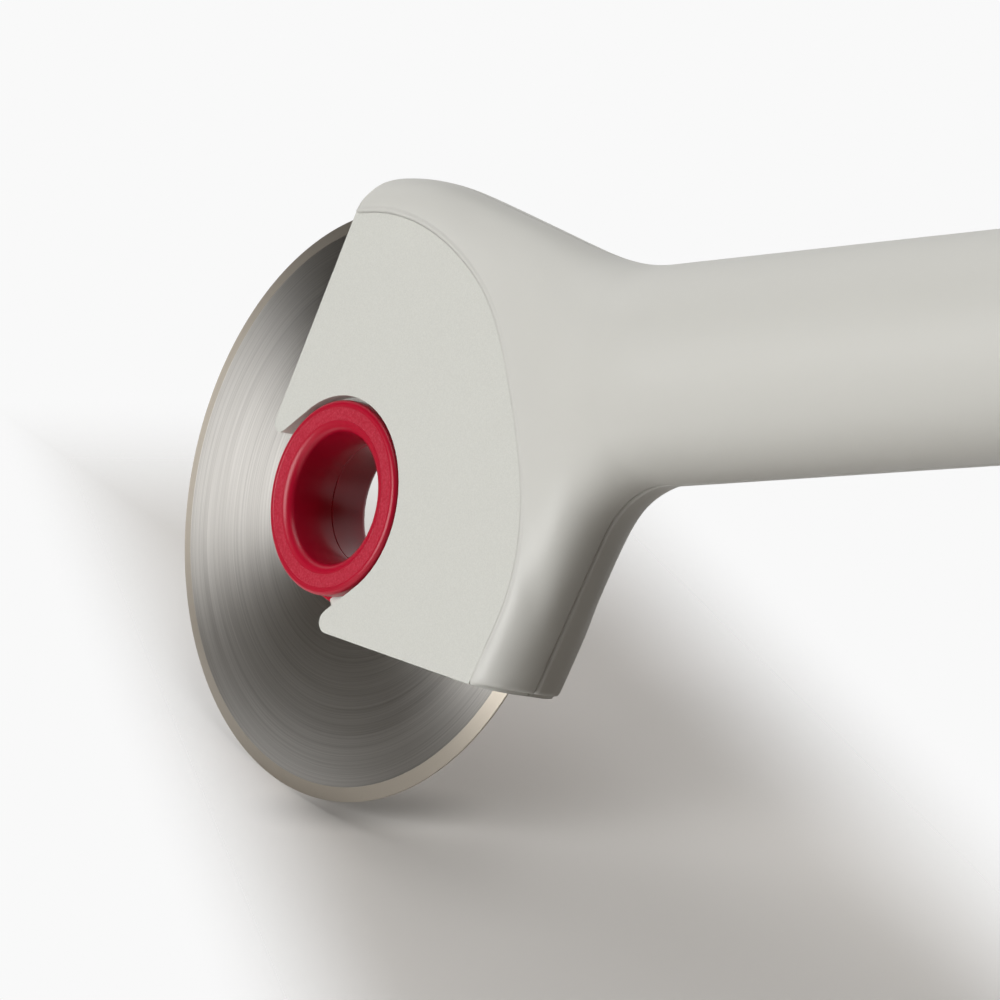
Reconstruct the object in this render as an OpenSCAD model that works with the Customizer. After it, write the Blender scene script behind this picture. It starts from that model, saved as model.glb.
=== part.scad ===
// Pizza cutter with a clip-out wheel.
// The origin is the centre of the wheel. +X runs along the handle, +Y is the wheel's axis,
// and +Z is up. The front half is the one towards -Y, and the back half mirrors it.

/* [Blade] */
// Radius of the cutting disc
blade_r = 37.5; // [34:0.5:42]
// Thickness of the disc
blade_t = 1.2; // [0.8:0.1:1.4]
// Width of the ground bevel on each side
bevel_w = 1.8; // [1:0.1:4]
// Thickness left at the cutting edge
edge_t = 0.24; // [0.1:0.02:0.4]

/* [Hub] */
// Width of the hub over its two rims
hub_w = 13.2; // [12.8:0.1:14]
// Radius of the through hole at its narrowest
bore_r = 7.7; // [6:0.1:7.9]
// Length of the straight stretch of the through hole
bore_len = 5; // [3:0.5:6]
// How much the hole widens before its rounded mouth
bore_flare = 0.6; // [0.2:0.1:0.7]
// Radius of the rounded mouth
mouth_round = 1.3; // [0.8:0.1:1.4]
// Radius of the journal that the blade turns on
journal_r = 9.2; // [9:0.05:9.3]
// Radius of the neck that sits in the notch
neck_r = 10.2; // [10:0.05:10.4]
// Radius of the outer rim
rim_r = 12.3; // [12:0.1:12.6]
// Thickness of the outer rim
rim_t = 2; // [1.8:0.1:2.2]
// Rounding of the rim's outer edge
rim_round = 0.6; // [0.4:0.1:0.9]
// Radius of the inner flange beside the blade
flange_r = 13.3; // [12.8:0.1:14]
// Thickness of the inner flange
flange_t = 0.9; // [0.7:0.1:1.1]
// Wall of the sleeve that joins the halves
sleeve_t = 0.75; // [0.6:0.05:0.8]
// How far the front half plugs into the back half
sleeve_len = 3; // [2.6:0.1:3.4]
// Height of the snap bead round the sleeve
bead_h = 0.2; // [0.1:0.05:0.3]

/* [Head] */
// Thickness of the head over its flat cheeks
head_w = 12.9; // [12.6:0.1:14]
// How far the skin stands above the cheek
skin_edge = 0.12; // [0.05:0.01:0.3]
// Depth of the rounding along the top and the back of the head
edge_depth = 4.85; // [4.4:0.1:6]
// Roof over the top of the blade
roof_t = 2.5; // [2:0.1:4]
// Wall behind the blade at the back of the head
back_t = 2.8; // [2.4:0.1:4]
// Wall from the notch to the nose face
nose_t = 3; // [2.4:0.1:4]
// Wall from the notch to the lower face
chin_t = 3.6; // [3:0.1:5]
// Lean of the nose face from level
nose_angle = 62.9; // [58:0.5:66]
// Slope of the lower face
chin_angle = 13.8; // [10:0.5:18]
// Lean of the back of the head from level
back_angle = 60.7; // [58:0.5:64]
// Rounding of the corner above the nose
brow_r = 4.5; // [3:0.5:6]
// Rounding of the prong above the hub
upper_tip_r = 1.25; // [1:0.05:1.5]
// Rounding of the prong below the hub
lower_tip_r = 1.45; // [1.2:0.05:1.8]
// Rounding of the corner under the back of the head
heel_r = 2; // [1:0.5:4]
// Place of the highest point of the head
crown_x = 1.7; // [0:0.1:6]
// Radius of the curve over the crown
crown_r = 41; // [34:1:46]
// Slope between the crown and the handle
shoulder_angle = 21.2; // [20:0.2:24]
// Radius of the hollow curve from the shoulder to the handle
shoulder_r = 45; // [40:1:55]
// Radius of the hollow curve under the neck
neck_curve_r = 11.6; // [9:0.2:16]

/* [Notch] */
// Slope of the way in which the wheel slides out
mouth_angle = 27; // [24:0.5:30]
// Gap round the hub's rim
rim_gap = 0.53; // [0.45:0.01:0.8]
// Gap round the hub's neck
neck_gap = 0.3; // [0.25:0.01:0.4]
// How far each catch bump reaches into that gap
catch_h = 0.2; // [0.1:0.01:0.22]
// Radius of a catch bump
catch_r = 1.5; // [1:0.1:2]
// How far the lower and the upper lip run beyond the hub's centre
lip_runs = [7, 6]; // [5:0.5:8]
// Play of the lip between the rim and the flange
lip_play = 0.25; // [0.15:0.05:0.3]

/* [Handle] */
// Height of the handle
handle_h = 26.2; // [24:0.2:30]
// Thickness of the handle
handle_w = 26; // [24:0.2:30]
// Height of the handle's axis above the hub
handle_rise = 12.95; // [12:0.05:14]
// Distance from the hub to the end of the handle
handle_reach = 162; // [140:1:190]
// Length of the rounded end
dome_len = 13; // [9:0.5:18]
// Distance from the hub to where the head has run out into the handle
flare_x = 62; // [60:1:66]
// Length of the run from there in which the skin comes down to the cheek
flare_len = 41.4; // [38:0.2:44]
// Swell of the cheek's edge towards the handle
cheek_swell = 3.3; // [2:0.1:4]
// Length of the cheek's rounded upper corner
upper_corner = 40; // [30:1:50]
// Length of the cheek's rounded lower corner
lower_corner = 21; // [14:1:30]
// Width and depth of the groove where the two skins meet
groove = 0.35; // [0.2:0.05:0.5]

/* [Core] */
// Thickness of the skin over the core tube
grip_t = 2.2; // [1.8:0.1:3]
// Wall of the core tube
tube_t = 2.3; // [1.8:0.1:3]
// Cover of the skin over the flat of the core plate
plate_cover = 1.8; // [1.6:0.1:2.4]
// Cover of the skin over the flat of the thin rim round that plate
rim_cover = 3.2; // [3:0.1:3.6]
// Cover of the skin beside the edges of the plate and its rim
side_cover = 1.2; // [1:0.1:1.4]
// Flat land on the skin's edge round the cheek
edge_land = 0.3; // [0.2:0.05:0.5]
// Radius of the thin end of the core's cone
cone_r = 4.6; // [4:0.1:4.8]
// Number of webs across the core tube
web_count = 3; // [2:1:5]
// Thickness of a web
web_t = 2; // [1.5:0.1:3]
// Radius of a locating post
post_r = 1.6; // [1.2:0.1:1.8]
// How far a post stands into the other half
post_len = 3; // [2:0.5:4]
// Radius of the boss that a post stands on
boss_r = 3.4; // [3:0.1:4]
// Wall between the blade's slot and a post in the head
post_wall = 3; // [2.4:0.1:3.2]
// Directions of the posts in the head from the hub
head_post_angles = [3, 38]; // [0:1:45]

/* [Clearances] */
// Radial running gap between the blade and its journal
journal_gap = 0.05; // [0.02:0.01:0.09]
// Gap between the blade and each flange
blade_play = 0.1; // [0.05:0.01:0.2]
// Gap round the sleeve where the hub halves plug together
sleeve_gap = 0.03; // [0.01:0.01:0.06]
// Gap round a post in its socket
post_gap = 0.05; // [0.02:0.01:0.1]
// Gap between the skin and the core
bond_gap = 0.05; // [0.03:0.01:0.1]
// Gap round the edge of the blade in its slot
slot_gap = 1; // [0.8:0.1:1.5]
// Gap between a flange and the side of the slot
slot_play = 0.3; // [0.2:0.05:0.4]

/* [Hidden] */
over = blade_t;

// Distances from the middle plane of the blade
flange_in = blade_t / 2 + blade_play;
flange_out = flange_in + flange_t;
rim_out = hub_w / 2;
rim_in = rim_out - rim_t;
slot_d = flange_out + slot_play;
lip_d = rim_in - lip_play;
cheek_d = head_w / 2;
skin_d = cheek_d + skin_edge;
handle_d = handle_w / 2;

// Places in the side view, as [x, z], and outward directions of the head's flat faces
slot_r = blade_r + slot_gap;
notch_r = rim_r + rim_gap;
lip_r = neck_r + neck_gap;
// The straight walls of the notch lie a hair inside its round wall, so that the two cross
hair = bond_gap / 2;
wall_r = notch_r - hair;
handle_r = handle_h / 2;
handle_top = handle_rise + handle_r;
handle_foot = handle_rise - handle_r;
crown_z = slot_r + roof_t;
nose_out = [-sin(nose_angle), cos(nose_angle)];
chin_out = [-sin(chin_angle), -cos(chin_angle)];
mouth_out = [-cos(mouth_angle), -sin(mouth_angle)];
mouth_up = [-sin(mouth_angle), cos(mouth_angle)];
back_out = [sin(back_angle), -cos(back_angle)];
back_up = [cos(back_angle), sin(back_angle)];
neck_x = (slot_r + back_t + handle_foot * cos(back_angle)) / sin(back_angle);

// Top edge of the head: crown arc, straight shoulder, hollow arc, then the handle
crown_end = crown_x + crown_r * sin(shoulder_angle);
crown_drop = crown_r * (1 - cos(shoulder_angle));
hollow_drop = shoulder_r * (1 - cos(shoulder_angle));
hollow_start =
    crown_end + (crown_z - handle_top - crown_drop - hollow_drop) / tan(shoulder_angle);
hollow_end = hollow_start + shoulder_r * sin(shoulder_angle);
function top_z(x) =
    x < crown_x ? crown_z
    : x < crown_end ? crown_z - crown_r + sqrt(pow(crown_r, 2) - pow(x - crown_x, 2))
    : x < hollow_start ? crown_z - crown_drop - (x - crown_end) * tan(shoulder_angle)
    : x < hollow_end ? handle_top + shoulder_r - sqrt(pow(shoulder_r, 2) - pow(hollow_end - x, 2))
    : handle_top;
function top_lean(x) =
    x < crown_x ? 0
    : x < crown_end ? -asin((x - crown_x) / crown_r)
    : x < hollow_start ? -shoulder_angle
    : x < hollow_end ? -asin((hollow_end - x) / shoulder_r)
    : 0;

// Lower edge: foot of the handle, hollow arc under the neck, then the straight back of the head
under_end = neck_x + neck_curve_r * tan(back_angle / 2);
under_start = under_end - neck_curve_r * sin(back_angle);
function foot_z(x) =
    x > under_end ? handle_foot
    : x > under_start
        ? handle_foot - neck_curve_r + sqrt(pow(neck_curve_r, 2) - pow(under_end - x, 2))
    : handle_foot - (neck_x - x) * tan(back_angle);
function foot_lean(x) =
    x > under_end ? 0 : x > under_start ? asin((under_end - x) / neck_curve_r) : back_angle;

// Ribs across the body: each runs from the lower edge to the top edge, starts at a distance
// "run" back from flare_x, and leans more and more as it nears the nose
lean_share = 1.31;
narrow_start_share = 0.38;
narrow_end_share = 1.18;
function ease(s) = let (c = min(max(s, 0), 1)) c * c * (3 - 2 * c);
function rib_top(run) = let (x = flare_x - run) [x, top_z(x)];
function rib_foot(run) =
    let (x = flare_x - run + run * run / (run + lean_share * flare_len)) [x, foot_z(x)];
function rib_lean(run) = let (v = rib_top(run) - rib_foot(run)) atan2(v[1], v[0]);
function rib_len(run) = norm(rib_top(run) - rib_foot(run));
function rib_d(run) = handle_d - (handle_d - skin_d) * ease(run / flare_len);
function rib_round(run) =
    let (share = (run / flare_len - narrow_start_share) / (narrow_end_share - narrow_start_share))
    handle_r - (handle_r - edge_depth) * ease(share);
// Distances along a rib from its foot and from its top that lie a given depth inside the edge
function rib_low(run, depth) =
    min(depth / sin(rib_lean(run) - foot_lean(rib_foot(run)[0])), rib_len(run) / 2);
function rib_high(run, depth) =
    min(depth / sin(rib_lean(run) - top_lean(rib_top(run)[0])), rib_len(run) / 2);
function rib_at(run, along) =
    let (share = along / rib_len(run),
        lean = rib_lean(run),
        swell = cheek_swell * ease(run / flare_len) * 4 * share * (1 - share))
    rib_foot(run) + share * (rib_top(run) - rib_foot(run)) + swell * [sin(lean), -cos(lean)];

// Half section of the body, from its foot to its top, as [distance along, depth]: the groove,
// a round edge, a flat, the other round edge and the groove again
round_steps = 9;
flat_steps = 5;
function section(length, low, high, d) =
    let (start = asin(groove / d), step = (90 - start) / round_steps)
    concat(
        [[groove, 0]],
        [for (i = [0:round_steps]) let (a = start + i * step) [low * (1 - cos(a)), d * sin(a)]],
        [for (i = [1:flat_steps - 1]) [low + (length - low - high) * i / flat_steps, d]],
        [for (i = [round_steps:-1:0]) let (a = start + i * step)
            [length - high * (1 - cos(a)), d * sin(a)]],
        [[length - groove, 0]]
    );
function rib_row(run) =
    let (low = rib_low(run, rib_round(run)), high = rib_high(run, rib_round(run)))
    [for (p = section(rib_len(run), low, high, rib_d(run)))
        let (q = rib_at(run, p[0])) [q[0], -p[1], q[1]]];
function handle_row(x, scale) =
    [for (p = section(handle_h, handle_r, handle_r, handle_d))
        [x, -p[1] * scale, handle_rise + (p[0] - handle_r) * scale]];
function far_row() =
    [for (p = section(crown_z + slot_r, edge_depth, edge_depth, skin_d))
        [-blade_r, -p[1], p[0] - slot_r]];

// Rows of the whole body, from the end of the handle to beyond the nose
dome_steps = 7;
dome_power = 2.4;
dome_share = 0.985;
run_steps = 30;
run_last = flare_x - crown_x + notch_r;
function dome_scale(s) = pow(1 - pow(s, dome_power), 1 / dome_power);
body_rows = concat(
    [for (i = [dome_steps:-1:1]) let (s = dome_share * sin(90 * i / dome_steps))
        handle_row(handle_reach - dome_len * (1 - s), dome_scale(s))],
    [handle_row(handle_reach - dome_len, 1)],
    [for (i = [0:run_steps]) rib_row(run_last * i / run_steps)],
    [far_row()]
);

// Solid between rows of points and the middle plane
module row_solid(rows) {
    n = len(rows);
    m = len(rows[0]);
    polyhedron(
        points = [for (row = rows) each row],
        faces = concat(
            [[for (j = [0:m - 1]) j]],
            [[for (j = [m - 1:-1:0]) (n - 1) * m + j]],
            [for (i = [0:n - 2], j = [0:m - 1], half = [0, 1])
                let (a = i * m + j, b = i * m + (j + 1) % m)
                half == 0 ? [a, a + m, b] : [b, a + m, b + m]]
        )
    );
}
// Flat shape in the side view, made a slab between two distances from the middle plane
module slab(from, to) {
    rotate([90, 0, 0]) translate([0, 0, from]) linear_extrude(to - from) children();
}
// Round bar along the wheel's axis
module cross_bar(at, r, from, to) {
    translate([at[0], -from, at[1]]) rotate([90, 0, 0]) cylinder(h = to - from, r = r, $fn = 64);
}
// Round bar or cone along the handle's axis
module long_bar(from, to, r1, r2) {
    translate([from, 0, handle_rise]) rotate([0, 90, 0])
        cylinder(h = to - from, r1 = r1, r2 = r2, $fn = 96);
}
// Shape turned round the wheel's axis, from an outline of [radius, distance to the front]
module turned(outline) {
    rotate([90, 0, 0]) rotate_extrude($fn = 144) polygon(outline);
}
function arc(centre, r, from, to, steps) =
    [for (i = [0:steps]) let (a = from + (to - from) * i / steps) centre + r * [cos(a), sin(a)]];
// Point where two lines meet, each given by its outward direction and its distance
function meet(n1, d1, n2, d2) =
    [d1 * n2[1] - d2 * n1[1], n1[0] * d2 - n2[0] * d1] / (n1[0] * n2[1] - n1[1] * n2[0]);
// Outline with each corner rounded to its own radius
function rounded(points, radii) =
    let (n = len(points))
    [for (i = [0:n - 1]) let (
        p = points[i],
        a = (points[(i + n - 1) % n] - p) / norm(points[(i + n - 1) % n] - p),
        b = (points[(i + 1) % n] - p) / norm(points[(i + 1) % n] - p),
        half = acos(a * b) / 2,
        r = radii[i],
        centre = p + (a + b) / norm(a + b) * r / sin(half),
        spoke = p + a * r / tan(half) - centre,
        from = atan2(spoke[1], spoke[0]),
        turn = (180 - 2 * half) * (a[0] * b[1] - a[1] * b[0] > 0 ? -1 : 1)
    ) each r == 0 ? [p] : arc(centre, r, from, from + turn, 8)];

// Side view of the head between its nose face and its lower face
tail_x = handle_reach + over;
heel_share = 3;
brow = meet(nose_out, notch_r + nose_t, [0, 1], crown_z);
heel = meet(chin_out, notch_r + chin_t, back_out, slot_r + back_t + bond_gap);
heel_top = heel + back_up * heel_r * heel_share;
upper_tip = meet(nose_out, notch_r + nose_t, mouth_up, wall_r);
lower_tip = meet(chin_out, notch_r + chin_t, -mouth_up, wall_r);
module cheek_view() {
    polygon(rounded(
        [brow, [tail_x, crown_z], [tail_x, heel_top[1]], heel_top, heel, lower_tip,
            -mouth_up * wall_r, mouth_up * wall_r, upper_tip],
        [brow_r, 0, 0, 0, heel_r, lower_tip_r, 0, 0, upper_tip_r]
    ));
}
module head_view(grow) {
    if (grow > 0) offset(delta = grow) cheek_view();
    else cheek_view();
}
// Side view of a flat plate that stays a given distance inside the round edges of the body
plate_run = flare_len / 2;
view_steps = 16;
view_runs = [for (i = [0:view_steps]) run_last + (plate_run - run_last) * i / view_steps];
function plate_inset(run, depth, side) =
    side + rib_round(run) * (1 - sqrt(1 - pow(depth / rib_d(run), 2)));
module plate_view(depth, side) {
    polygon(concat(
        [[-blade_r, -slot_r], [-blade_r, crown_z - plate_inset(run_last, depth, side)]],
        [for (run = view_runs)
            rib_at(run, rib_len(run) - rib_high(run, plate_inset(run, depth, side)))],
        [for (i = [view_steps:-1:0])
            rib_at(view_runs[i], rib_low(view_runs[i], plate_inset(view_runs[i], depth, side)))]
    ));
}
// Side view of the bare cheek, drawn a little inside the skin's edge. It follows the top edge and
// the back, and turns from the one to the other in two rounded corners
corner_power = 4.4;
corner_steps = 14;
function corner(a) = 1 - pow(cos(a), 2 / corner_power);
function cheek_run(a, reach) = flare_len + reach * corner(a);
function cheek_gap(edge, length, a) = edge + (length / 2 - edge) * corner(90 - a);
function cheek_high(a, land) =
    let (run = cheek_run(a, upper_corner), length = rib_len(run))
    rib_at(run + land, length - cheek_gap(rib_high(run, edge_depth), length, a) - land * sin(a));
function cheek_low(a, land) =
    let (run = cheek_run(a, lower_corner), length = rib_len(run))
    rib_at(run + land, cheek_gap(rib_low(run, edge_depth), length, a) + land * sin(a));
module bare_view(land) {
    turns = [for (i = [0:corner_steps]) 90 * i / corner_steps];
    polygon(concat(
        [[-blade_r, -slot_r], [-blade_r, crown_z - edge_depth - land]],
        [for (i = [corner_steps:-1:0]) cheek_high(turns[i], land)],
        [for (i = [1:corner_steps]) cheek_low(turns[i], land)],
        [rib_at(run_last, rib_low(run_last, edge_depth) + land)]
    ));
}

// Hub: the front half turned about its axis. The sleeve of the front half carries the blade and
// plugs into the back half, where a low bead snaps into its groove
wall_round = arc([bore_r + bore_flare + mouth_round, rim_out - mouth_round], mouth_round, 180, 90, 6);
rim_edge = arc([rim_r - rim_round, rim_out - rim_round], rim_round, 90, 0, 6);
function hub_outer() = concat(
    [[bore_r, 0], [bore_r, bore_len / 2]],
    wall_round,
    rim_edge,
    [[rim_r, rim_in], [neck_r, rim_in], [neck_r, flange_out], [flange_r, flange_out]],
    [[flange_r, flange_in]]
);
bead_top = sleeve_len - bead_h;
bead_low = bead_top - 4 * bead_h;
function bead(r, height, gap) = [
    [r, bead_low - gap],
    [r + height, bead_low + bead_h - gap],
    [r + height, bead_top - bead_h + gap],
    [r, bead_top + gap]
];
module hub_front() {
    color("crimson") turned(concat(
        hub_outer(),
        [[journal_r, flange_in]],
        [for (p = bead(journal_r, bead_h, 0)) [p[0], -p[1]]],
        [[journal_r, -sleeve_len], [journal_r - sleeve_t, -sleeve_len], [journal_r - sleeve_t, 0]]
    ));
}
module hub_back() {
    socket = bead(journal_r + sleeve_gap, bead_h, sleeve_gap);
    color("crimson") mirror([0, 1, 0]) turned(concat(
        hub_outer(),
        [[journal_r + sleeve_gap, flange_in]],
        socket,
        [
            [journal_r + sleeve_gap, sleeve_len + blade_play],
            [journal_r - sleeve_t - sleeve_gap, sleeve_len + blade_play],
            [journal_r - sleeve_t - sleeve_gap, 0]
        ]
    ));
}
module blade() {
    hole_r = journal_r + journal_gap;
    color("silver") turned([
        [hole_r, -blade_t / 2],
        [blade_r - bevel_w, -blade_t / 2],
        [blade_r, -edge_t / 2],
        [blade_r, edge_t / 2],
        [blade_r - bevel_w, blade_t / 2],
        [hole_r, blade_t / 2]
    ]);
}

// Core: cheek and stepped plate in the head, then a cone and a tube that run down the handle.
// To cut its room out of the skin it grows beyond the head's flat faces
tube_r = handle_d - grip_t;
tube_end = handle_reach - dome_len / 2;
cone_start = slot_r - slot_gap - over;
module core_shape(gap, grow) {
    slab(-grow, cheek_d) intersection() {
        bare_view(edge_land + gap);
        head_view(grow);
    }
    for (cover = [plate_cover, rim_cover])
        slab(-grow, skin_d - cover - gap) intersection() {
            plate_view(skin_d - cover, side_cover + gap);
            head_view(grow);
        }
    long_bar(cone_start, flare_x, cone_r - gap, tube_r - gap);
    long_bar(flare_x, tube_end - gap, tube_r - gap, tube_r - gap);
}
// Lips that reach into the groove of the hub, each with a catch bump beside the way out
module lips() {
    for (i = [0, 1]) {
        up = [-mouth_up, mouth_up][i];
        low = lip_r - hair;
        high = notch_r + lip_play;
        slab(slot_d, lip_d) polygon([
            up * low - mouth_out * over,
            up * low + mouth_out * lip_runs[i],
            up * high + mouth_out * lip_runs[i],
            up * high - mouth_out * over
        ]);
        cross_bar(
            up * (lip_r + catch_r - catch_h) + mouth_out * lip_runs[i] / 2, catch_r, slot_d, lip_d
        );
    }
}
web_pitch = (tube_end - tube_t - flare_x) / (web_count + 1);
web_posts = [for (i = [1:web_count]) [flare_x + i * web_pitch, handle_rise]];
head_post_r = slot_r + post_r + post_wall;
head_posts = [for (a = head_post_angles) head_post_r * [cos(a), sin(a)]];
module hollow() {
    bore = tube_r - tube_t;
    long_bar(flare_x - bore, flare_x, cone_r - tube_t, bore);
    difference() {
        long_bar(flare_x, tube_end - tube_t, bore, bore);
        for (post = web_posts) {
            long_bar(post[0] - web_t / 2, post[0] + web_t / 2, tube_r, tube_r);
            cross_bar(post, boss_r, 0, tube_r);
        }
    }
}
module core_half() {
    difference() {
        union() {
            difference() {
                core_shape(bond_gap, 0);
                cross_bar([0, 0], notch_r, lip_d, cheek_d + over);
            }
            lips();
        }
        cross_bar([0, 0], lip_r, 0, lip_d + over);
        cross_bar([0, 0], slot_r, -over, slot_d);
        hollow();
        translate([-slot_r, 0, -slot_r]) cube([tail_x + slot_r, handle_w, slot_r + crown_z]);
    }
}
module core_front() {
    color("gainsboro") {
        core_half();
        for (post = concat(head_posts, web_posts)) cross_bar(post, post_r, -post_len, over);
    }
}
module core_back() {
    color("gainsboro") difference() {
        mirror([0, 1, 0]) core_half();
        for (post = concat(head_posts, web_posts))
            cross_bar(post, post_r + post_gap, -post_len - post_gap, over);
    }
}
module grip_half() {
    difference() {
        row_solid(body_rows);
        slab(-over, handle_w) difference() {
            translate([-handle_reach, -handle_reach]) square(3 * handle_reach);
            cheek_view();
        }
        core_shape(0, over);
        slab(-over, skin_d + over) bare_view(edge_land);
        cross_bar([0, 0], slot_r, -over, slot_d);
    }
}
module grip_front() {
    color("whitesmoke") grip_half();
}
module grip_back() {
    color("whitesmoke") mirror([0, 1, 0]) grip_half();
}

blade();
hub_front();
hub_back();
core_front();
core_back();
grip_front();
grip_back();
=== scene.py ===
# Pizza cutter with a clip-out wheel: a brushed steel disc, a red moulded hub and a warm grey
# handle. Sizes are in millimetres and are turned to metres where a mesh is made. As in the part,
# +X runs along the handle, +Y is the wheel's axis and +Z is up, and the front half of each pair
# is the one towards -Y.
from math import acos, asin, atan2, cos, pi, radians, sin, sqrt, tan

import bmesh
import bpy
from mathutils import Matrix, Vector


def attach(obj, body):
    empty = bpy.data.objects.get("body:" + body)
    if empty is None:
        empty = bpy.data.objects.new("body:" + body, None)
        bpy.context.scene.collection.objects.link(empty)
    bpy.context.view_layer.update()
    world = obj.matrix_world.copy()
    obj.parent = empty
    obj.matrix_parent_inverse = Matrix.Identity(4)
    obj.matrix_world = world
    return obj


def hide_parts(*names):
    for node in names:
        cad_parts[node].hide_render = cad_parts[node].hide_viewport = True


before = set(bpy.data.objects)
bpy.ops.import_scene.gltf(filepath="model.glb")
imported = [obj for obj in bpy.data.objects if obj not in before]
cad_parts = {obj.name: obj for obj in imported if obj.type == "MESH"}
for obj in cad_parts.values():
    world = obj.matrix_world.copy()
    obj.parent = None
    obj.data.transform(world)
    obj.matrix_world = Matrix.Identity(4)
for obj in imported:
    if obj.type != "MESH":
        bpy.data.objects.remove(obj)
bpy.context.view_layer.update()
MM = 0.001


def put(name, data):
    """A new object in the scene, with its mesh, camera or lamp."""
    made = bpy.data.objects.new(name, data)
    bpy.context.scene.collection.objects.link(made)
    return made


# ---------------------------------------------------------------- camera and floor

# The lens and the place were worked out from the disc, the hub and the head's straight edges
camera = put("camera", bpy.data.cameras.new("camera"))
camera.data.sensor_width = 36
camera.data.lens = 198
camera.data.clip_start = 0.01
camera.data.clip_end = 20
camera.location = (0.528041, -0.435996, -0.079345)
camera.rotation_euler = (radians(96.7619), radians(-3.984), radians(48.638))
bpy.context.scene.camera = camera
bpy.context.view_layer.update()
bpy.context.scene.view_settings.view_transform = "Standard"

# The cutter stands on the lowest point of its disc, tilted: the disc leans back and the handle
# rises. So the table's own directions are tilted against the part's
FLOOR_TILT = radians(27)
PART_DISC_R = 37.5     # the disc's radius in the part
sight = camera.matrix_world.to_3x3()
table_up = (sight @ Vector((0, cos(FLOOR_TILT), sin(FLOOR_TILT)))).normalized()
table_right = sight @ Vector((1, 0, 0))
table_away = table_up.cross(table_right)
foot = -PART_DISC_R * MM * Vector((table_up.x, 0, table_up.z)).normalized()


# ---------------------------------------------------------------- nodes

def linear(code):
    """Linear colour with alpha from an sRGB hex code."""
    parts = [int(code[i:i + 2], 16) / 255 for i in (1, 3, 5)]
    return [c / 12.92 if c <= 0.04045 else ((c + 0.055) / 1.055) ** 2.4 for c in parts] + [1]


def add(tree, kind, settings=None, **links):
    """Adds a node. Settings are node properties or input values, and links feed its inputs. A
    link's name is the input's, or _ and its number."""
    node = tree.nodes.new("ShaderNode" + kind)
    for key, value in (settings or {}).items():
        if hasattr(node, key):
            setattr(node, key, value)
        else:
            node.inputs[key].default_value = value
    for key, source in links.items():
        name = int(key[1:]) if key[0] == "_" else key.replace("_", " ")
        tree.links.new(source, node.inputs[name])
    return node


def feed(tree, node, number, value):
    """Gives an input another node's output, or a value of its own."""
    if isinstance(value, bpy.types.NodeSocket):
        tree.links.new(value, node.inputs[number])
    else:
        node.inputs[number].default_value = value


def calc(tree, operation, *values, kind="Math"):
    """The result of a sum on outputs of other nodes, numbers or directions."""
    node = add(tree, kind, {"operation": operation})
    for number, value in enumerate(values):
        feed(tree, node, number, value)
    return node.outputs["Value" if operation in ("DOT_PRODUCT", "LENGTH") else 0]


def vector_calc(tree, operation, *values):
    """The same on directions and places."""
    return calc(tree, operation, *values, kind="VectorMath")


def ramp(tree, value, start, end, low=0.0, high=1.0, soft=False):
    """Takes a value's way from start to end over to the way from low to high."""
    node = add(tree, "MapRange", {
        "interpolation_type": "SMOOTHSTEP" if soft else "LINEAR",
        "From Min": start, "From Max": end, "To Min": low, "To Max": high}, Value=value)
    return node.outputs[0]


def mix(tree, share, first, second):
    """Mixes two colours, each a hex code or another node's output."""
    node = add(tree, "Mix", {"data_type": "RGBA"}, Factor=share)
    for number, colour in ((6, first), (7, second)):
        feed(tree, node, number, linear(colour) if isinstance(colour, str) else colour)
    return node.outputs[2]


def noise(tree, place_in, size, detail):
    """An even random pattern, whose spots are this many millimetres across."""
    node = add(tree, "TexNoise", {"Scale": 1 / (size * MM), "Detail": detail}, Vector=place_in)
    return node.outputs["Fac"]


def finish_named(name):
    """An empty material with its node tree."""
    made = bpy.data.materials.new(name)
    made.use_nodes = True
    made.node_tree.nodes.clear()
    return made, made.node_tree


# ---------------------------------------------------------------- outlines, as in the part

HEAD_D = 6.45          # cheek to the middle plane
SKIN_D = 6.57          # skin's edge round the cheek
HANDLE_D, HANDLE_R = 13.0, 13.1
HANDLE_RISE = 12.95
HANDLE_TOP, HANDLE_FOOT = HANDLE_RISE + HANDLE_R, HANDLE_RISE - HANDLE_R
HANDLE_END = 161.8
DOME_LEN, DOME_POWER, DOME_STEPS = 12.8, 2.4, 22
FLARE_X, FLARE_LEN = 62.0, 41.4
CROWN_X, CROWN_Z, CROWN_R = 1.7, 41.0, 41.0
SHOULDER, SHOULDER_R = radians(21.2), 45.0
BACK, NECK_R = radians(60.7), 11.6
BACK_T, BOND_GAP = 2.8, 0.05
NOSE, CHIN, MOUTH = radians(62.9), radians(13.8), radians(27)
NOTCH_R, WALL_R, SLOT_R = 12.83, 12.805, 38.5
SLOT_D = 1.9           # side of the disc's slot to the middle plane
NOSE_FACE, CHIN_FACE = NOTCH_R + 3, NOTCH_R + 3.6  # distances from the wheel's axis
EDGE_DEPTH = 4.85      # round edge of the head, down from its outline
GROOVE = 0.35          # half the width of the groove where the skins meet
BLADE_R = 37.489       # a hair inside the part's box
BEVEL_R = 35.7         # where the ground bevel starts
BLADE_D, EDGE_D = 0.6, 0.12  # half the thickness of the disc and of its edge
HUB_HOLE_R = 9.25      # hole in the disc
EDGE_LAND = 0.32       # skin's edge beyond the cheek's outline

RIBS = 260
RUN_LAST = FLARE_X - CROWN_X + NOTCH_R
RIB_SLANT = 1.31       # lower, and a rib's foot falls back further behind its top
SWELL = 3.3            # how far the head's ribs bulge towards the handle
SHRINK = 0.38, 1.18    # where the round edges shrink to the head's, in lengths of the flare
LOWER_CORNER, UPPER_CORNER = 21, 40  # lengths of the cheek's two round corners
CORNER_POWER = 4.4     # and how full they are
CHIN_ROUND, NOSE_ROUND = 1.1, 0.6
FACE_DROP = 0.35       # share of an edge's rounding that the side face takes

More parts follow.
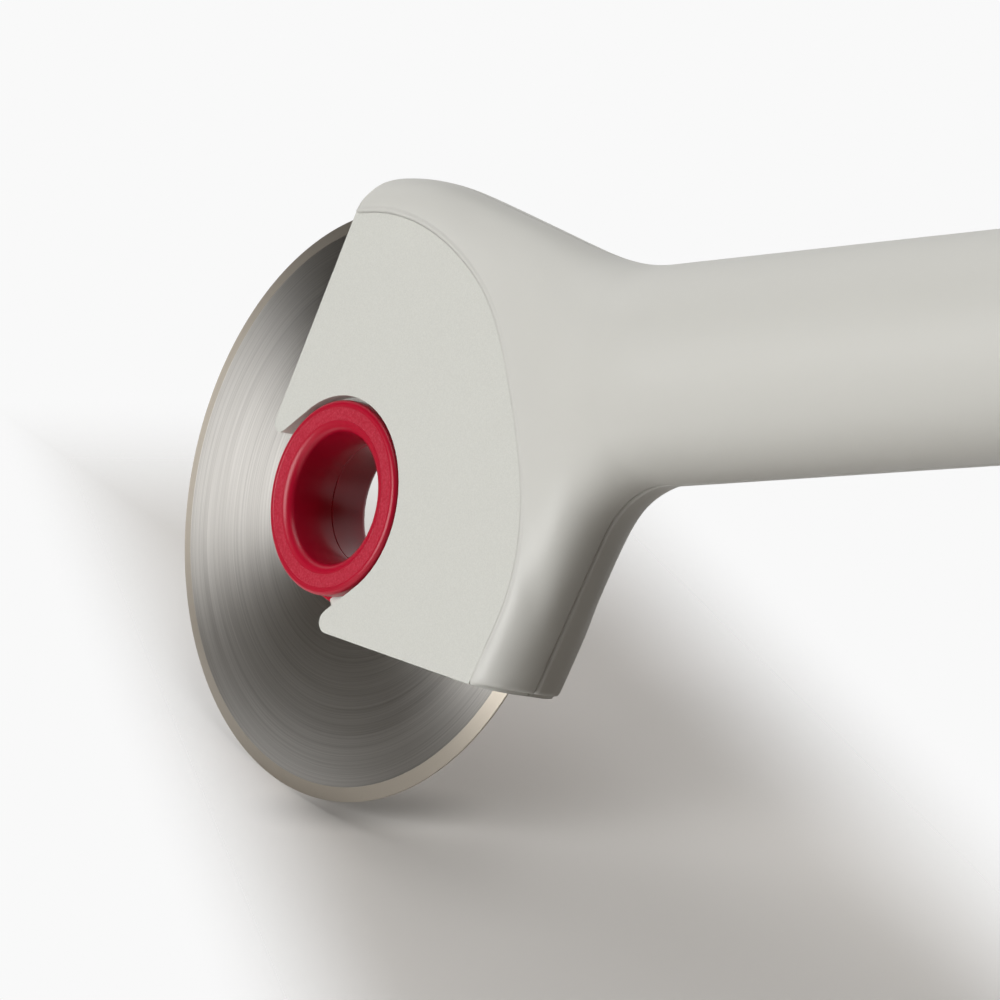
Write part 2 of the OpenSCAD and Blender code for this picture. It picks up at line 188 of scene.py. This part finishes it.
nose_out = Vector((-sin(NOSE), cos(NOSE)))
chin_out = Vector((-sin(CHIN), -cos(CHIN)))
mouth_up = Vector((-sin(MOUTH), cos(MOUTH)))
back_out = Vector((sin(BACK), -cos(BACK)))
back_up = Vector((cos(BACK), sin(BACK)))
neck_x = (SLOT_R + BACK_T + HANDLE_FOOT * cos(BACK)) / sin(BACK)
crown_end = CROWN_X + CROWN_R * sin(SHOULDER)
crown_drop = CROWN_R * (1 - cos(SHOULDER))
hollow_drop = SHOULDER_R * (1 - cos(SHOULDER))
hollow_start = crown_end + (CROWN_Z - HANDLE_TOP - crown_drop - hollow_drop) / tan(SHOULDER)
hollow_end = hollow_start + SHOULDER_R * sin(SHOULDER)
under_end = neck_x + NECK_R * tan(BACK / 2)
under_start = under_end - NECK_R * sin(BACK)


def top_edge(x):
    """Height and lean of the upper edge: crown, shoulder, hollow, handle."""
    if x < CROWN_X:
        return CROWN_Z, 0
    if x < crown_end:
        fall = sqrt(CROWN_R ** 2 - (x - CROWN_X) ** 2)
        return CROWN_Z - CROWN_R + fall, -asin((x - CROWN_X) / CROWN_R)
    if x < hollow_start:
        return CROWN_Z - crown_drop - (x - crown_end) * tan(SHOULDER), -SHOULDER
    if x < hollow_end:
        rise = sqrt(SHOULDER_R ** 2 - (hollow_end - x) ** 2)
        return HANDLE_TOP + SHOULDER_R - rise, -asin((hollow_end - x) / SHOULDER_R)
    return HANDLE_TOP, 0


def foot_edge(x):
    """Height and lean of the lower edge: handle, hollow under the neck, back of the head."""
    if x > under_end:
        return HANDLE_FOOT, 0
    if x > under_start:
        rise = sqrt(NECK_R ** 2 - (under_end - x) ** 2)
        return HANDLE_FOOT - NECK_R + rise, asin((under_end - x) / NECK_R)
    return HANDLE_FOOT - (neck_x - x) * tan(BACK), BACK


def ease(share):
    """Goes softly from 0 to 1."""
    c = min(max(share, 0), 1)
    return c * c * (3 - 2 * c)


def corner(a):
    """How far a round corner of the cheek has drawn in at an angle, as a share of its length."""
    return 1 - max(cos(a), 0) ** (2 / CORNER_POWER)


class Rib:
    """A line across the body from its lower to its upper edge, "run" back from the flare. Ribs
    lean more and more towards the nose, and carry the section of the skin."""

    def __init__(self, run):
        self.run = run
        x_top, x_foot = FLARE_X - run, FLARE_X - run + run * run / (run + RIB_SLANT * FLARE_LEN)
        z_top, top_lean = top_edge(x_top)
        z_foot, foot_lean = foot_edge(x_foot)
        self.foot, self.top = Vector((x_foot, z_foot)), Vector((x_top, z_top))
        self.length = (self.top - self.foot).length
        self.lean = atan2(z_top - z_foot, x_top - x_foot)
        self.swell = SWELL * ease(run / FLARE_LEN)
        self.depth = HANDLE_D - (HANDLE_D - SKIN_D) * ease(run / FLARE_LEN)
        narrow = ease((run / FLARE_LEN - SHRINK[0]) / (SHRINK[1] - SHRINK[0]))
        self.round = HANDLE_R - (HANDLE_R - EDGE_DEPTH) * narrow
        self.foot_cut, self.top_cut = sin(self.lean - foot_lean), sin(self.lean - top_lean)

    def low(self, depth):
        """Distance along the rib from its foot to this depth inside the lower edge."""
        return self.within(depth / self.foot_cut)

    def high(self, depth):
        """Distance along the rib from its top to this depth inside the upper edge."""
        return self.within(depth / self.top_cut)

    def within(self, reach):
        """Keeps a round edge inside its half of the rib, with no sudden change from rib to rib."""
        half, n = self.length / 2, 5 + 40 * (1 - ease(self.run / 14))
        return half * reach / (half ** n + reach ** n) ** (1 / n)

    def rounds(self):
        """Lengths of the two round edges, and how far they run on to melt into the flat: to the
        bare cheek, but hardly beyond twice their own length."""
        made = []
        for own, edge, reach in (
                (self.low(self.round), self.low(EDGE_DEPTH), LOWER_CORNER),
                (self.high(self.round), self.high(EDGE_DEPTH), UPPER_CORNER)):
            past = max(self.run - FLARE_LEN, 0) / reach
            turn = acos(max(1 - past, 0) ** (CORNER_POWER / 2))
            cheek = edge + (self.length / 2 - edge) * corner(pi / 2 - turn)
            cheek = (cheek ** -6 + (2 * own) ** -6) ** (-1 / 6)
            made.append((own, max(cheek, own)))
        return made

    def at(self, along):
        """The place this far along the rib, which bulges towards the handle."""
        share = along / self.length
        bulge = self.swell * 4 * share * (1 - share)
        backwards = Vector((sin(self.lean), -cos(self.lean)))
        return self.foot.lerp(self.top, share) + bulge * backwards


def section(length, lows, highs, depth, steps=26, flats=6):
    """Half section of the skin: half a groove, a round edge, a flat, a round edge, half a groove.
    A round edge that runs on further than its own length is fuller, so that it keeps its place."""
    def edge(own, reach):
        power = 2 / (1 + reach / own)
        start = asin((GROOVE / depth) ** (1 / power))
        turns = [start + (pi / 2 - start) * i / steps for i in range(steps + 1)]
        return [(reach * (1 - max(cos(a), 0) ** power), depth * sin(a) ** power) for a in turns]

    low, high = edge(*lows), edge(*highs)
    begin, end = low[-1][0], length - high[-1][0]
    return (
        [(GROOVE, 0)] + low
        + [(begin + (end - begin) * i / flats, depth) for i in range(1, flats)]
        + [(length - x, d) for x, d in reversed(high)]
        + [(length - GROOVE, 0)]
    )


def arc(centre, r, start, end, steps):
    """Points on part of a circle, from one angle to another in degrees."""
    turns = [radians(start + (end - start) * i / steps) for i in range(steps + 1)]
    return [(centre[0] + r * cos(a), centre[1] + r * sin(a)) for a in turns]


def meet(n1, d1, n2, d2):
    """Point where two lines meet, each given by its outward direction and its distance."""
    return Vector((d1 * n2.y - d2 * n1.y, n1.x * d2 - n2.x * d1)) / (n1.x * n2.y - n1.y * n2.x)


def rounded(points, radii, steps=14):
    """Outline with each corner rounded to its own radius."""
    made = []
    for i, (p, r) in enumerate(zip(points, radii)):
        if not r:
            made.append(p)
            continue
        a = (points[i - 1] - p).normalized()
        b = (points[(i + 1) % len(points)] - p).normalized()
        half = acos(a.dot(b)) / 2
        centre = p + (a + b).normalized() * r / sin(half)
        spoke = p + a * r / tan(half) - centre
        turn = (pi - 2 * half) * (-1 if a.x * b.y - a.y * b.x > 0 else 1)
        start = atan2(spoke.y, spoke.x)
        for k in range(steps + 1):
            angle = start + turn * k / steps
            made.append(centre + r * Vector((cos(angle), sin(angle))))
    return made


# ---------------------------------------------------------------- meshes

def body_object(name, points, faces, smooth=30):
    """A mesh object from points in millimetres, smooth up to an angle between its faces."""
    mesh = bpy.data.meshes.new(name)
    mesh.from_pydata([Vector(p) * MM for p in points], [], faces)
    mesh.update()
    return soften(put(name, mesh), smooth)


def soften(made, smooth):
    """Turns all faces outwards and shades them smooth, up to an angle between them."""
    mesh = made.data
    bm = bmesh.new()
    bm.from_mesh(mesh)
    bmesh.ops.recalc_face_normals(bm, faces=bm.faces)
    bm.to_mesh(mesh)
    bm.free()
    mesh.shade_smooth()
    mesh.set_sharp_from_angle(angle=radians(smooth))
    return made


def ring_faces(first, second, n):
    """Faces between two loops of n points each, from the numbers of their first points."""
    return [(first + j, second + j, second + (j + 1) % n, first + (j + 1) % n) for j in range(n)]


def rows_solid(name, rows):
    """Solid whose sections are rows of points, closed at both ends."""
    n, m = len(rows), len(rows[0])
    faces = [list(range(m)), list(range(n * m - 1, (n - 1) * m - 1, -1))]
    for i in range(n - 1):
        faces += ring_faces(i * m, (i + 1) * m, m)
    return body_object(name, [p for row in rows for p in row], faces)


def slab(name, outline, near, far):
    """Flat shape in the side view, made solid between two distances in front of the middle."""
    n = len(outline)
    points = [(x, -d, z) for d in (near, far) for x, z in outline]
    faces = [list(range(n)), list(range(2 * n - 1, n - 1, -1))]
    return body_object(name, points, faces + ring_faces(0, n, n))


def turned(name, outline, steps=256, axis="wheel", smooth=30):
    """Closed outline of [radius, distance] turned round the wheel's or the handle's axis."""
    n = len(outline)
    points, faces = [], []
    for i in range(steps):
        a = 2 * pi * i / steps
        for r, d in outline:
            if axis == "wheel":
                points.append((r * cos(a), -d, r * sin(a)))
            else:
                points.append((d, r * cos(a), HANDLE_RISE + r * sin(a)))
        faces += ring_faces(i * n, (i + 1) % steps * n, n)
    return body_object(name, points, faces, smooth)


def carve(made, tool, how="DIFFERENCE"):
    """Cuts a shape with another, which is used up."""
    cut = made.modifiers.new("cut", "BOOLEAN")
    cut.operation, cut.object, cut.solver = how, tool, "EXACT"
    bpy.context.view_layer.update()
    result = made.evaluated_get(bpy.context.evaluated_depsgraph_get())
    shape = bpy.data.meshes.new_from_object(result)
    made.modifiers.clear()
    made.data = shape
    bpy.data.objects.remove(tool)
    return made


def join(made, other):
    """Adds a second shape to a mesh, and uses it up."""
    bm = bmesh.new()
    bm.from_mesh(made.data)
    bm.from_mesh(other.data)
    bm.to_mesh(made.data)
    bm.free()
    bpy.data.objects.remove(other)


def far_half(made, name):
    """The same shape mirrored in the middle plane."""
    mesh = made.data.copy()
    for v in mesh.vertices:
        v.co.y = -v.co.y
    mesh.flip_normals()
    return put(name, mesh)


def place(made, body, node, finish):
    """Lets a piece stand for a CAD node, move with its body and wear a finish."""
    made.data.materials.clear()
    made.data.materials.append(finish)
    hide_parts(node)
    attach(made, body)
    return made


# ---------------------------------------------------------------- finishes

def from_axis(tree, place_in):
    """A point's way from the wheel's axis, and its distance from it."""
    axes = add(tree, "SeparateXYZ", Vector=place_in)
    flat = add(tree, "CombineXYZ", X=axes.outputs["X"], Z=axes.outputs["Z"]).outputs[0]
    return flat, vector_calc(tree, "LENGTH", flat)


def brushed_steel():
    # Stainless steel, brushed in circles: grey, with highlights drawn out across the brushing
    # into soft wedges. The ground bevel is finer and more even
    made, tree = finish_named("stainless_steel_brushed_in_circles")
    flat, radius = from_axis(tree, add(tree, "TexCoord").outputs["Object"])
    # Brush lines are 0.05 mm apart, too fine to show, so they are drawn 0.17 mm apart. A line
    # changes about four times on its way round
    around = vector_calc(tree, "NORMALIZE", flat)
    spread = add(tree, "VectorMath", {"operation": "SCALE", "Scale": 0.7}, _0=around)
    pitch = calc(tree, "MULTIPLY", radius, 1 / (0.17 * MM))
    lift = add(tree, "CombineXYZ", Y=pitch)
    spot = vector_calc(tree, "ADD", spread.outputs[0], lift.outputs[0])
    lines = add(tree, "TexNoise", {"Scale": 1.0, "Detail": 3.0, "Roughness": 0.65}, Vector=spot)
    lines = lines.outputs["Fac"]
    bevel = calc(tree, "GREATER_THAN", radius, BEVEL_R * MM)
    rough = ramp(tree, lines, 0.3, 0.7, 0.275, 0.315)
    rough = calc(tree, "MULTIPLY_ADD", bevel, 0.13, rough)
    colour = mix(tree, ramp(tree, lines, 0.2, 0.8), "#C0BDB8", "#E4E1DC")
    colour = mix(tree, bevel, colour, "#B0A89C")
    along = add(tree, "Tangent", {"direction_type": "RADIAL", "axis": "Y"})
    steel = add(tree, "BsdfPrincipled", {
        "Metallic": 1.0, "Anisotropic": 0.85, "Anisotropic Rotation": 0.25},
        Base_Color=colour, Roughness=rough, Tangent=along.outputs[0])
    add(tree, "OutputMaterial", Surface=steel.outputs[0])
    return made


def red_moulded():
    # Coloured plastic, moulded: polished and deep where it turns into the hole, with a finely
    # grained ring on its face that sparkles
    made, tree = finish_named("abs_red_moulded")
    place_in = add(tree, "TexCoord").outputs["Object"]
    radius = from_axis(tree, place_in)[1]
    inner = ramp(tree, radius, 9.66 * MM, 9.74 * MM)
    outer = ramp(tree, radius, 11.42 * MM, 11.34 * MM)
    ring = calc(tree, "MULTIPLY", inner, outer)
    # Spark-eroded grain, 0.1 mm across, too fine to show, so it is drawn 0.3 mm across
    relief = calc(tree, "MULTIPLY", noise(tree, place_in, 0.3, 3.0), ring)
    rough = ramp(tree, ring, 0, 1, 0.3, 0.42)
    bump = add(tree, "Bump", {"Strength": 1.0, "Distance": 0.05 * MM}, Height=relief)
    colour = mix(tree, ramp(tree, relief, 0.4, 0.8), "#AC0A2B", "#BE3349")
    plastic = add(tree, "BsdfPrincipled", {"IOR": 1.5, "Specular IOR Level": 0.33},
                  Base_Color=colour, Roughness=rough, Normal=bump.outputs[0])
    add(tree, "OutputMaterial", Surface=plastic.outputs[0])
    return made


def grained_grey():
    # Glass-filled nylon, moulded in a spark-eroded tool: matt, with an even fine grain
    made, tree = finish_named("nylon_warm_grey_grained")
    # The grain is 0.12 mm across, too fine to show, so it is drawn 0.2 mm across
    grain = noise(tree, add(tree, "TexCoord").outputs["Object"], 0.2, 2.0)
    colour = mix(tree, ramp(tree, grain, 0.3, 0.7), "#C5C6C0", "#CDCEC8")
    bump = add(tree, "Bump", {"Strength": 0.35, "Distance": 0.03 * MM}, Height=grain)
    plastic = add(tree, "BsdfPrincipled", {"Roughness": 0.62, "IOR": 1.5},
                  Base_Color=colour, Normal=bump.outputs[0])
    add(tree, "OutputMaterial", Surface=plastic.outputs[0])
    return made


def satin_skin():
    # Thermoplastic elastomer, moulded over the core: satin and smooth, with soft highlights
    made, tree = finish_named("elastomer_warm_grey_satin")
    place_in = add(tree, "TexCoord").outputs["Object"]
    rough = ramp(tree, noise(tree, place_in, 9, 2.0), 0, 1, 0.42, 0.5)
    # The mould leaves 0.6 mm roundings on the lower edge and the tips
    rounding = add(tree, "Bevel", {"samples": 6, "Radius": 0.6 * MM})
    bump = add(tree, "Bump", {"Strength": 0.1, "Distance": 0.01 * MM},
               Height=noise(tree, place_in, 0.25, 1.0), Normal=rounding.outputs[0])
    skin = add(tree, "BsdfPrincipled", {"Base Color": linear("#C9C9C4"), "IOR": 1.5},
               Roughness=rough, Normal=bump.outputs[0])
    add(tree, "OutputMaterial", Surface=skin.outputs[0])
    return made


steel = brushed_steel()
red = red_moulded()
grey = grained_grey()
skin = satin_skin()


# ---------------------------------------------------------------- skins round the handle

def handle_row(x, scale):
    """Half section of the plain handle, smaller on the dome."""
    full = (HANDLE_R, HANDLE_R)
    return [(x, -d * scale, HANDLE_RISE + (s - HANDLE_R) * scale)
            for s, d in section(2 * HANDLE_R, full, full, HANDLE_D)]


def rounded_off(p):
    """How far the skin draws in at a place to round its edges at the chin and at the nose."""
    drops = []
    for out, reach, r in ((chin_out, CHIN_FACE, CHIN_ROUND), (nose_out, NOSE_FACE, NOSE_ROUND)):
        near = min(max(r - (reach - p.dot(out)), 0), r)
        drops.append(r - sqrt(r * r - near * near))
    return max(drops)


def rib_rows():
    """Sections of the skin from rib to rib, each taken as a mean over its neighbours, up to 4 mm
    away at the neck, so that the forms run into each other without a crease."""
    ribs = [Rib(RUN_LAST * i / RIBS) for i in range(RIBS + 1)]
    raw = [[Vector((*rib.at(s), d)) for s, d in section(rib.length, *rib.rounds(), rib.depth)]
           for rib in ribs]
    last = len(raw[0]) - 1
    made = []
    for i, rib in enumerate(ribs):
        reach = 4 * ease((rib.run - 6) / 12) * (1 - 0.7 * ease((rib.run - 40) / 15))
        k = round(reach * RIBS / RUN_LAST)
        near = [raw[min(max(i + j, 0), RIBS)] for j in range(-k, k + 1)]
        line = [sum((row[j] for row in near), Vector((0, 0, 0))) / len(near)
                for j in range(last + 1)]
        across, row = Vector((cos(rib.lean), sin(rib.lean))), []
        for j, p in enumerate(line):
            way = line[min(j + 1, last)] - line[max(j - 1, 0)]
            way = Vector((way.xy.dot(across), way.z)).normalized()
            if j < 2 or j > last - 2:
                way = Vector((0, 1 if j < 2 else -1))
            drop = rounded_off(p.xy)
            x, z = p.xy + drop * way.y * across
            row.append((x, FACE_DROP * drop * way.x - p.z, z))
        made.append(row)
    return made


skin_rows = []
for i in range(DOME_STEPS, 0, -1):
    # The dome stops a little before its tip, where a row would shrink to a point
    s = 0.9996 * sin(pi / 2 * i / DOME_STEPS)
    skin_rows.append(handle_row(HANDLE_END - DOME_LEN * (1 - s),
                                (1 - s ** DOME_POWER) ** (1 / DOME_POWER)))
skin_rows.append(handle_row(HANDLE_END - DOME_LEN, 1))
skin_rows += rib_rows()
head_edge = (EDGE_DEPTH, EDGE_DEPTH)
skin_rows.append([(-BLADE_R, -d, s - SLOT_R)
                  for s, d in section(CROWN_Z + SLOT_R, head_edge, head_edge, SKIN_D)])

tail_x = HANDLE_END + 1.4
head_top = CROWN_Z - 0.147  # keeps the crown inside the part's box
brow = meet(nose_out, NOSE_FACE, Vector((0, 1)), head_top)
heel = meet(chin_out, CHIN_FACE, back_out, SLOT_R + BACK_T + BOND_GAP)
heel_top = heel + back_up * 6
upper_tip = meet(nose_out, NOSE_FACE, mouth_up, WALL_R)
lower_tip = meet(chin_out, CHIN_FACE, -mouth_up, WALL_R)
head_outline = rounded(
    [brow, Vector((tail_x, head_top)), Vector((tail_x, heel_top.y)), heel_top, heel, lower_tip,
     -mouth_up * WALL_R, mouth_up * WALL_R, upper_tip],
    [4.5, 0, 0, 0, 2, 1.45, 0, 0, 1.25])


def cheek_edge(land, steps=26):
    """Edge of the bare cheek from the nose along the top, round two corners and down the back."""
    def gap(edge, length, a):
        return edge + (length / 2 - edge) * corner(pi / 2 - a)

    made = [Vector((-BLADE_R, CROWN_Z - EDGE_DEPTH - land))]
    for i in range(steps, -1, -1):
        a = pi / 2 * i / steps
        run = FLARE_LEN + UPPER_CORNER * corner(a)
        edge, rib = Rib(run), Rib(run + land)
        inset = gap(edge.high(EDGE_DEPTH), edge.length, a)
        made.append(rib.at(edge.length - inset - land * sin(a)))
    for i in range(1, steps + 1):
        a = pi / 2 * i / steps
        run = FLARE_LEN + LOWER_CORNER * corner(a)
        edge, rib = Rib(run), Rib(run + land)
        made.append(rib.at(gap(edge.low(EDGE_DEPTH), edge.length, a) + land * sin(a)))
    last = Rib(RUN_LAST)
    made.append(last.at(last.low(EDGE_DEPTH) + land))
    return made


def cheek_bead(name):
    """The fine raised edge of the skin round the bare cheek, as a strip that sinks into the skin
    and closes the seam to the core."""
    line = cheek_edge(EDGE_LAND, 60)
    # Distance across the edge, and out from the middle plane
    shape = [(-0.18, 6.3), (-0.18, 6.452), (-0.06, 6.475), (0.06, 6.52), (0.16, 6.56),
             (0.26, 6.578), (0.36, 6.568), (0.45, 6.5), (0.45, 6.3)]
    rows = []
    for i, p in enumerate(line):
        way = (line[min(i + 1, len(line) - 1)] - line[max(i - 1, 0)]).normalized()
        side = Vector((-way.y, way.x))
        spots = [(p + across * side, d) for across, d in shape]
        rows.append([(q.x, FACE_DROP * rounded_off(q) - d, q.y) for q, d in spots])
    bead = soften(rows_solid(name, rows), 40)
    return carve(bead, slab("head_again", head_outline, -2, 15), "INTERSECT")


grip_front = rows_solid("grip_front_skin", skin_rows)
carve(grip_front, slab("head", head_outline, -2, 15), "INTERSECT")
carve(grip_front, slab("cheek", [Vector((-BLADE_R, -SLOT_R))] + cheek_edge(EDGE_LAND), -2, 9))
carve(grip_front, turned("slot", [(0.01, -2), (SLOT_R, -2), (SLOT_R, SLOT_D), (0.01, SLOT_D)]))
# Room for the core inside the neck and the handle
carve(grip_front, turned(
    "tube", [(0.01, 36.1), (4.6, 36.1), (10.8, FLARE_X), (10.8, 155.5), (0.01, 155.5)],
    axis="handle", steps=96))
join(grip_front, cheek_bead("bead"))
soften(grip_front, 24)
grip_back = far_half(grip_front, "grip_back_skin")
soften(grip_back, 24)
place(grip_front, "handle", "grip_front", skin)
place(grip_back, "handle", "grip_back", skin)


# ---------------------------------------------------------------- core halves

def core(node, side):
    """The hard half of the core, with the mould's small rounding on the open edges of its cheek."""
    bm = bmesh.new()
    bm.from_mesh(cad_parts[node].data)
    bmesh.ops.remove_doubles(bm, verts=bm.verts, dist=0.001 * MM)
    bmesh.ops.dissolve_limit(bm, angle_limit=0.002, verts=bm.verts, edges=bm.edges)

    def open_edge(edge):
        """Whether an edge lies in the cheek's plane, at the nose, chin, notch or mouth."""
        if any(abs(v.co.y / MM - side * HEAD_D) > 0.004 for v in edge.verts):
            return False
        a, b = (Vector((v.co.x, v.co.z)) / MM for v in edge.verts)
        mid = (a + b) / 2
        return (mid.dot(nose_out) > NOSE_FACE - 0.5 or mid.dot(chin_out) > CHIN_FACE - 0.7
                or mid.length < NOTCH_R + 0.1
                or abs(mid.dot(mouth_up)) < NOTCH_R + 0.1 and mid.x < 0)

    bmesh.ops.bevel(bm, geom=[e for e in bm.edges if open_edge(e)], offset=0.5 * MM, segments=6,
                    profile=0.5, affect="EDGES", clamp_overlap=True)
    mesh = bpy.data.meshes.new(node + "_shell")
    bm.to_mesh(mesh)
    bm.free()
    made = soften(put(node + "_shell", mesh), 30)
    return place(made, "handle", node, grey)


core("core_front", -1)
core("core_back", 1)


# ---------------------------------------------------------------- hub and disc

# Outer outline of a hub half: hole, mouth, grained ring, rim, neck and flange
hub_outer = (
    [(7.82, 0), (7.7, 0.1), (7.7, 2.5)]
    + arc((9.6, 5.3), 1.3, 180, 90, 14)
    + [(9.68, 6.6), (9.74, 6.54), (11.34, 6.54), (11.42, 6.6)]
    + arc((11.6, 5.9), 0.7, 90, 0, 12)
    + [(12.3, 4.6), (10.2, 4.6), (10.2, 1.6), (13.2, 1.6), (13.3, 1.5), (13.3, 0.7)]
)
# The front half has the sleeve with the snap bead, and the back half the socket with its groove
hub_front = turned("hub_front_half", hub_outer + [
    (9.2, 0.7), (9.2, -2), (9.4, -2.2), (9.4, -2.6), (9.2, -2.8), (9.2, -3), (8.45, -3), (8.45, 0)])
hub_back = far_half(turned("hub_back_turned", hub_outer + [
    (9.23, 0.7), (9.23, 1.97), (9.43, 2.17), (9.43, 2.63), (9.23, 2.83), (9.23, 3.1), (8.42, 3.1),
    (8.42, 0)]), "hub_back_half")
bpy.data.objects.remove(bpy.data.objects["hub_back_turned"])
soften(hub_back, 30)
place(hub_front, "hub", "hub_front", red)
place(hub_back, "hub", "hub_back", red)

disc = turned("brushed_disc", [
    (HUB_HOLE_R, -BLADE_D), (BEVEL_R, -BLADE_D), (BLADE_R, -EDGE_D), (BLADE_R, EDGE_D),
    (BEVEL_R, BLADE_D), (HUB_HOLE_R, BLADE_D)], steps=360, smooth=5)
place(disc, "blade", "blade", steel)


# ---------------------------------------------------------------- table, backdrop and light

WHITE = "#F9F9F9"
SQUARE = ((-1, -1), (1, -1), (1, 1), (-1, 1))


def sheet(name, corners, finish):
    """A flat sheet with four corners."""
    mesh = bpy.data.meshes.new(name)
    mesh.from_pydata(corners, [], [(0, 1, 2, 3)])
    mesh.materials.append(finish)
    return put(name, mesh)


def mirrored_ray(tree, rays):
    """1 for a ray that a surface has reflected or bent, and 0 for any other."""
    return calc(tree, "MAXIMUM", rays.outputs["Is Glossy Ray"], rays.outputs["Is Transmission Ray"])


def table():
    """A pale grey table, lit white round the place where the cutter stands."""
    made, tree = finish_named("table_paper")
    rays = add(tree, "LightPath")
    place_in = add(tree, "NewGeometry")
    position = place_in.outputs["Position"]
    spot = vector_calc(tree, "SUBTRACT", position, foot)
    # How far a spot lies to the left of the grey patch, to its right and behind it, in metres
    left, right, behind = (vector_calc(tree, "DOT_PRODUCT", spot, way) for way in (
        -table_right - 0.25 * table_away, table_right + 0.45 * table_away, table_away))
    fade = ramp(tree, left, -0.0065, 0.019, soft=True)
    for way, start, end in ((right, 0.054, 0.09), (behind, 0.055, 0.11), (behind, -0.11, -0.17)):
        fade = calc(tree, "MAXIMUM", fade, ramp(tree, way, start, end, soft=True))
    # Where it fades to white, and from below, the camera looks through it at the white backdrop,
    # so that it hides nothing
    share = calc(tree, "MULTIPLY", mirrored_ray(tree, rays), fade)
    clear = calc(tree, "MAXIMUM", fade, place_in.outputs["Backfacing"])
    clear = calc(tree, "MULTIPLY", clear, rays.outputs["Is Camera Ray"])
    # Painted shade: as diffuse rays see it, the table's colour darkens to a warm brown towards its
    # far right, so that it sends little light back to the handle
    shade = ramp(tree, right, -0.02, 0.05, soft=True)
    shade = calc(tree, "MULTIPLY", shade, rays.outputs["Is Diffuse Ray"])
    tone = mix(tree, shade, "#E5E3E0", "#4D3D2A")
    # The photo's contact shadow is deeper than these lamps cast, so a soft patch of shade, 36 mm
    # by 14 mm, is painted on the table where the disc stands. It stays when the cutter moves
    patch = vector_calc(tree, "SUBTRACT", position, foot + MM * (12 * table_right - 8 * table_away))
    off = add(tree, "CombineXYZ",
              X=vector_calc(tree, "DOT_PRODUCT", patch, table_right / (15 * MM)),
              Y=vector_calc(tree, "DOT_PRODUCT", patch, table_away / (6 * MM)))
    deep = ramp(tree, vector_calc(tree, "LENGTH", off.outputs[0]), 0, 1.2, 0.57, 1, soft=True)
    tone = add(tree, "VectorMath", {"operation": "SCALE"}, _0=tone, Scale=deep)
    paper = add(tree, "BsdfDiffuse", Color=tone.outputs[0])
    glow = add(tree, "Emission", {"Color": linear(WHITE), "Strength": 1.0})
    surface = add(tree, "MixShader", _0=share, _1=paper.outputs[0], _2=glow.outputs[0])
    through = add(tree, "BsdfTransparent")
    surface = add(tree, "MixShader", _0=clear, _1=surface.outputs[0], _2=through.outputs[0])
    add(tree, "OutputMaterial", Surface=surface.outputs[0])
    corners = [foot + 4 * (a * table_right + b * table_away) for a, b in SQUARE]
    plane = sheet("table", corners, made)


def compass(turn, rise):
    """Direction from the cutter: turn 0 is right, 90 away from the camera and 180 left."""
    flat = cos(radians(turn)) * table_right + sin(radians(turn)) * table_away
    return cos(radians(rise)) * flat + sin(radians(rise)) * table_up


def backdrop():
    """White for the camera, and in reflections white behind the cutter and dim on this side."""
    world = bpy.data.worlds.new("studio")
    bpy.context.scene.world = world
    world.use_nodes = True
    tree = world.node_tree
    tree.nodes.clear()
    rays = add(tree, "LightPath")
    way = add(tree, "TexCoord").outputs["Generated"]
    behind = vector_calc(tree, "DOT_PRODUCT", way, table_away)
    mirrored = mix(tree, ramp(tree, behind, 0.02, 0.3, soft=True), "#4C4741", WHITE)
    # The backdrop lights the side that the camera doesn't see
    diffuse = mix(tree, ramp(tree, behind, 0.35, 0.9, soft=True), "#33281A", "#B9B6B0")
    unseen = mix(tree, mirrored_ray(tree, rays), diffuse, mirrored)
    shown = mix(tree, rays.outputs["Is Camera Ray"], unseen, WHITE)
    glow = add(tree, "Background", {"Strength": 1.0}, Color=shown)
    add(tree, "OutputWorld", Surface=glow.outputs[0])


def flag(name, corners, tone="#1C1B1A"):
    """Dark card that only reflections show, as set beside polished metal in a studio."""
    made, tree = finish_named("card_black")
    card = add(tree, "BsdfDiffuse", {"Color": linear(tone)})
    add(tree, "OutputMaterial", Surface=card.outputs[0])
    plane = sheet(name, corners, made)
    plane.visible_camera = plane.visible_diffuse = plane.visible_shadow = False
    plane.visible_transmission = False


def lamp(name, turn, rise, distance, width, height, level):
    """Soft area lamp aimed at the head. A level of 1 shows a colour that faces it as written."""
    aim = Vector((0.03, 0, 0))
    light = bpy.data.lights.new(name, "AREA")
    light.shape, light.size, light.size_y = "RECTANGLE", width, height
    light.energy = level * pi ** 2 * distance ** 2
    made = put(name, light)
    made.location = aim + distance * compass(turn, rise)
    made.rotation_euler = (aim - made.location).to_track_quat("-Z", "Y").to_euler()
    made.visible_camera = False


table()
backdrop()
lamp("key_softbox", 204, 16, 1.5, 1.0, 0.95, 0.94)
lamp("top_softbox", 20, 72, 1.5, 1.2, 1.2, 0.53)
flag("flag_left", [foot + 0.9 * compass(turn, 0) + up * table_up
                   for turn, up in ((130, 0), (184, 0), (184, 1.4), (130, 1.4))])
# A lighter card 1 mm above the table, to the left of the disc
ring_part = ((0.05, 130), (0.05, 205), (1.5, 200), (1.5, 135))
flag("flag_table", [foot + reach * compass(turn, 0) + 0.001 * table_up
                    for reach, turn in ring_part], "#6C655A")
